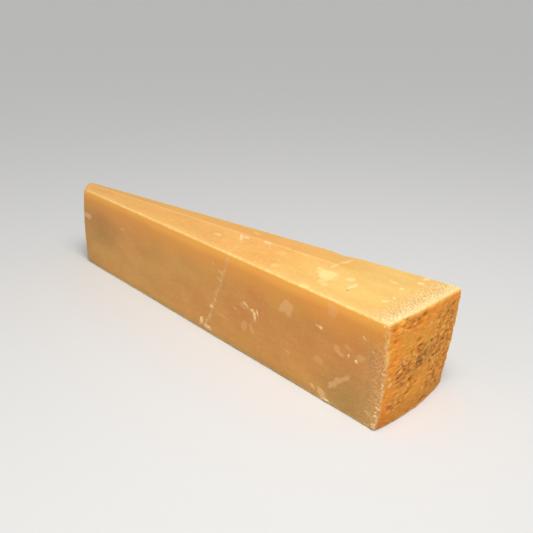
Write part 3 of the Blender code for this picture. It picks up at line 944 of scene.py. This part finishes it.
def rind_group():
    """The rind: ochre with orange towards its edges, brown patches, crests lit with a painted highlight,
    painted shade in its pits, hollows and foot, and fine rows.
    """
    inputs = {"Place": "NodeSocketVector", "Patch": "NodeSocketFloat", "Pit": "NodeSocketFloat"}
    outputs = {"Colour": "NodeSocketColor", "Relief": "NodeSocketFloat"}
    group, given, result = new_group("rind", inputs, outputs)
    place, patch = given["Place"], given["Patch"]
    axes = node(group, "ShaderNodeSeparateXYZ", {0: place}).outputs
    near = ramp(group, axes["Y"], *RIND_NEAR_Y)
    orange = maths(group, "MAXIMUM", near, ramp(group, axes["Z"], *RIND_HIGH_Z))
    clouds = maths(group, "ADD", orange, cloud(group, place, RIND_CLOUD, 3.0, 0.6))
    colour = mixed(group, ramp(group, clouds, 0.35, 1.2), RIND_OCHRE, RIND_ORANGE)
    spread = ramp(group, cloud(group, place, BROWN_CLOUD, 3.0), 0.35, 0.65)
    brown = product(group, ramp(group, patch, 0.1, 0.7, 0.15, 1.0), spread, 0.8)
    colour = mixed(group, brown, colour, RIND_BROWN)
    # A painted highlight on the rind's crests and painted shade in its hollows, both from the cloud that also
    # gives its fine relief
    crest = cloud(group, place, CREST_SIZE, 2.0, 0.5, (1, 1.5, 0.8))
    pale = product(group, ramp(group, crest, 0.52, 0.64), ramp(group, patch, 0.05, 0.6, 0.25, 1.0), 0.85)
    colour = mixed(group, pale, colour, RIND_CREST)
    hollow_shade = product(group, ramp(group, crest, 0.48, 0.34), ramp(group, patch, 0.05, 0.6, 0.2, 1.0), 0.62)
    colour = mixed(group, hollow_shade, colour, RIND_PIT_SHADE)
    # Painted shade in the rind's pits
    colour = mixed(group, ramp(group, given["Pit"], 0.15, 0.9, 0.0, 0.6), colour, RIND_PIT_SHADE)
    rows = cloud(group, place, RIND_ROW, 2.0, 0.5, (6, 8, 1))
    colour = mixed(group, ramp(group, rows, 0.45, 0.65, 0.0, 0.35), colour, RIND_CREST)
    rim = product(group, ramp(group, axes["Y"], *RIM_NEAR_Y), ramp(group, axes["Z"], *RIM_NEAR_Z))
    rim = maths(group, "MAXIMUM", rim, ramp(group, axes["Z"], *RIM_TOP_Z))
    rim = maths(group, "MAXIMUM", rim, ramp(group, axes["Y"], *RIM_FAR_Y))
    colour = mixed(group, product(group, rim, 0.6), colour, RIND_CREST)
    # Painted shade towards the rind's foot
    colour = mixed(group, ramp(group, axes["Z"], *RIND_SHADE_Z), colour, RIND_SHADE, "MULTIPLY")
    group.links.new(colour, result["Colour"])
    group.links.new(maths(group, "ADD", crest, rows), result["Relief"])
    return group


def finish_group():
    """The whole finish but for single marks: paste, a painted glow under the top edges, ridge, cracks, dry
    band, rind, edges that are pale partly from a painted highlight, and random spots.
    """
    outputs = {"Colour": "NodeSocketColor", "Dryness": "NodeSocketFloat", "Relief": "NodeSocketFloat"}
    group, given, result = new_group("cheese_finish", {"Place": "NodeSocketVector"}, outputs)
    place = given["Place"]
    behind = attribute(group, "behind_rind")
    rind = attribute(group, "rind")
    side = attribute(group, "side")
    top = maths(group, "SUBTRACT", 1.0, side)
    colour, grain, slow = filled_group(group, paste_group(), {"Place": place, "Side": side}).outputs

    wandering = maths(group, "MULTIPLY_ADD", cloud(group, place, DRY_CLOUD), 4.0, behind)
    dry = ramp(group, wandering, *DRY_BAND)
    sand = cloud(group, place, SAND_GRAIN, 2.0, 0.6, (1.0, 1.6, 1.0))
    colour = mixed(group, product(group, dry, side, 0.75), colour, DRY_TAN)
    colour = mixed(group, product(group, dry, top, 0.7), colour, SAND_TAN)
    pale = ramp(group, sand, 0.47, 0.58)
    colour = mixed(group, product(group, ramp(group, behind, *SAND_BAND), top, 0.4), colour, SAND_PALE)
    colour = mixed(group, product(group, dry, top, pale, 0.85), colour, SAND_PALE)
    colour = mixed(group, product(group, dry, side, pale, 0.36), colour, SAND_PALE)
    line = product(group, ramp(group, behind, *DRY_LINE_INSIDE), ramp(group, behind, *DRY_LINE_OUTSIDE))
    colour = mixed(group, product(group, line, side, 0.22), colour, DRY_LINE)

    # Below the top edges: a painted glow on the sides, amber then gold, for light that enters the top and
    # shows through them, and a pale band on the top
    depth = maths(group, "MULTIPLY_ADD", slow, 3.0, attribute(group, "below_edge"))
    colour = mixed(group, product(group, ramp(group, depth, *AMBER_GLOW_BAND), side, 0.85), colour, PAINTED_GLOW_AMBER)
    colour = mixed(group, product(group, ramp(group, depth, *GOLD_GLOW_BAND), side, 0.95), colour, PAINTED_GLOW_GOLD)
    colour = mixed(group, product(group, ramp(group, depth, *PALE_BAND), top, 0.12), colour, SAND_PALE)

    strip = product(group, attribute(group, "beyond"), ramp(group, behind, *STRIP_BEHIND), 0.5)
    colour = mixed(group, strip, colour, STRIP)
    colour = mixed(group, product(group, attribute(group, "ridge"), 0.35), colour, EDGE_PALE)

    crack = attribute(group, "crack")
    ragged = ramp(group, cloud(group, place, LIP_CLOUD), 0.4, 0.7, 0.3, 1.0)
    lips = product(group, ramp(group, crack, *LIP_BAND), ragged, 0.38)
    colour = mixed(group, lips, colour, FLECK)
    colour = mixed(group, ramp(group, crack, *CRACK_BAND, 0.0, 0.3), colour, SPECK)

    cells = node(group, "ShaderNodeTexVoronoi", {"Vector": place, "Scale": 1 / SPOT_SPACING})
    spots = maths(group, "MULTIPLY_ADD", cloud(group, place, SPOT_CLOUD), 0.3, cells.outputs["Distance"])
    spots = product(group, ramp(group, spots, 0.30, 0.22), attribute(group, "unseen"), 0.6)
    colour = mixed(group, spots, colour, FLECK)

    inputs = {"Place": place, "Patch": attribute(group, "patch"), "Pit": attribute(group, "pit")}
    shell, shell_relief = filled_group(group, rind_group(), inputs).outputs
    colour = mixed(group, rind, colour, shell)

    # Pale edges: partly crumbly paste, and partly a painted highlight on the rounded edges
    uneven = ramp(group, cloud(group, place, EDGE_CLOUD, 3.0), 0.35, 0.65, 0.15, 0.8)
    colour = mixed(group, product(group, attribute(group, "edge"), uneven), colour, EDGE_PALE)

    relief = product(group, maths(group, "ADD", sand, grain), maths(group, "MULTIPLY_ADD", dry, 0.9, 0.15))
    relief = maths(group, "MULTIPLY_ADD", shell_relief, rind, relief)
    group.links.new(colour, result["Colour"])
    group.links.new(maths(group, "MAXIMUM", dry, rind), result["Dryness"])
    group.links.new(relief, result["Relief"])
    return group


def cheese_material(region, finish, mark):
    """The cheese's material, with the single marks that a region has."""
    material, tree, shader = new_material("aged_cheese_" + region)
    tables = MARKS[region]
    place = node(tree, "ShaderNodeTexCoord").outputs["Object"]
    uneven = shifted(tree, place, **FLECK_TEAR)
    torn = shifted(tree, place, **VEIL_TEAR)
    colour, dryness, relief = filled_group(tree, finish, {"Place": place}).outputs
    veils = marks(tree, mark, torn, tables["veils"], region)
    colour = mixed(tree, product(tree, veils, tables["veil strength"]), colour, tables["veil"])
    stains = marks(tree, mark, uneven, tables["stains"], region)
    colour = mixed(tree, product(tree, stains, STAIN_STRENGTH), colour, tables["stain"])
    flecks = marks(tree, mark, uneven, tables["flecks"], region)
    colour = mixed(tree, product(tree, flecks, FLECK_STRENGTH), colour, tables["fleck"])

    tree.links.new(colour, shader["Base Color"])
    tree.links.new(ramp(tree, dryness, 0.0, 1.0, *ROUGHNESS), shader["Roughness"])
    shader["Subsurface Weight"].default_value = SUBSURFACE_WEIGHT[region]
    shader["Subsurface Radius"].default_value = SUBSURFACE_RADIUS
    shader["Subsurface Scale"].default_value = SUBSURFACE_SCALE
    shader["Specular IOR Level"].default_value = SPECULAR_LEVEL
    inputs = {"Height": relief, "Distance": BUMP_DISTANCE, "Strength": BUMP_STRENGTH}
    tree.links.new(node(tree, "ShaderNodeBump", inputs).outputs["Normal"], shader["Normal"])
    return material


def crumb_material():
    """Pale dry crumbs, a little uneven."""
    material, tree, shader = new_material("crumb")
    place = node(tree, "ShaderNodeTexCoord").outputs["Object"]
    colour = mixed(tree, ramp(tree, cloud(tree, place, CRUMB_CLOUD), 0.35, 0.65), CRUMB_DEEP, CRUMB_PALE)
    tree.links.new(colour, shader["Base Color"])
    shader["Roughness"].default_value = CRUMB_ROUGHNESS
    return material


def build():
    """The wedge in place of its solid, and its crumbs, with their finish."""
    points, faces, values, regions = finished_wedge()
    finish = finish_group()
    mark = mark_group()
    materials = [cheese_material(region, finish, mark) for region in REGIONS]
    wedge = mesh_object("cheese_wedge", points, faces, values, materials, regions)
    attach(wedge, "root")
    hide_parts("cheese")
    points, faces = crumb_shapes()
    crumbs = mesh_object("crumbs", points, faces, {}, [crumb_material()], np.zeros(len(faces)))
    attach(crumbs, "root")


def add_camera():
    """The camera at the photograph's viewing angle."""
    data = bpy.data.cameras.new("camera")
    data.sensor_width = SENSOR_WIDTH
    data.lens = FOCAL_PIXELS / IMAGE_PIXELS * SENSOR_WIDTH
    data.clip_start = NEAREST_SEEN
    camera = new_object("camera", data)
    camera.location = CAMERA_PLACE
    camera.rotation_euler = (math.pi / 2 - CAMERA_PITCH, 0, CAMERA_AZIMUTH)
    bpy.context.scene.camera = camera


def add_light(name, kind, place, size, power):
    """A soft light that faces the wedge, and that the camera doesn't see.

    Its width is in degrees for a sun and in millimetres for a panel.
    """
    data = bpy.data.lights.new(name, kind)
    if kind == "SUN":
        data.angle = math.radians(size)
    else:
        data.size = size * MM
    data.energy = power
    lamp = new_object(name, data)
    lamp.location = place
    lamp.rotation_euler = (-lamp.location).to_track_quat("-Z", "Y").to_euler()
    lamp.visible_camera = False


def add_stage():
    """A plain pale floor, plain soft studio light and a pale surround."""
    material, _, shader = new_material("pale_floor")
    shader["Base Color"].default_value = FLOOR_COLOUR
    shader["Roughness"].default_value = FLOOR_ROUGHNESS
    corners = [(x * FLOOR_HALF, y * FLOOR_HALF, 0) for x, y in ((-1, -1), (1, -1), (1, 1), (-1, 1))]
    floor = mesh_object("floor", corners, [(0, 1, 2, 3)], {}, [material], [0])
    world = bpy.data.worlds.new("surround")
    world.use_nodes = True
    surround = world.node_tree.nodes["Background"].inputs
    surround["Color"].default_value = (1, 1, 1, 1)
    surround["Strength"].default_value = SURROUND_STRENGTH
    bpy.context.scene.world = world
    bpy.context.scene.view_settings.view_transform = "Standard"
    for light in LIGHTS:
        add_light(*light)


build()
add_camera()
add_stage()
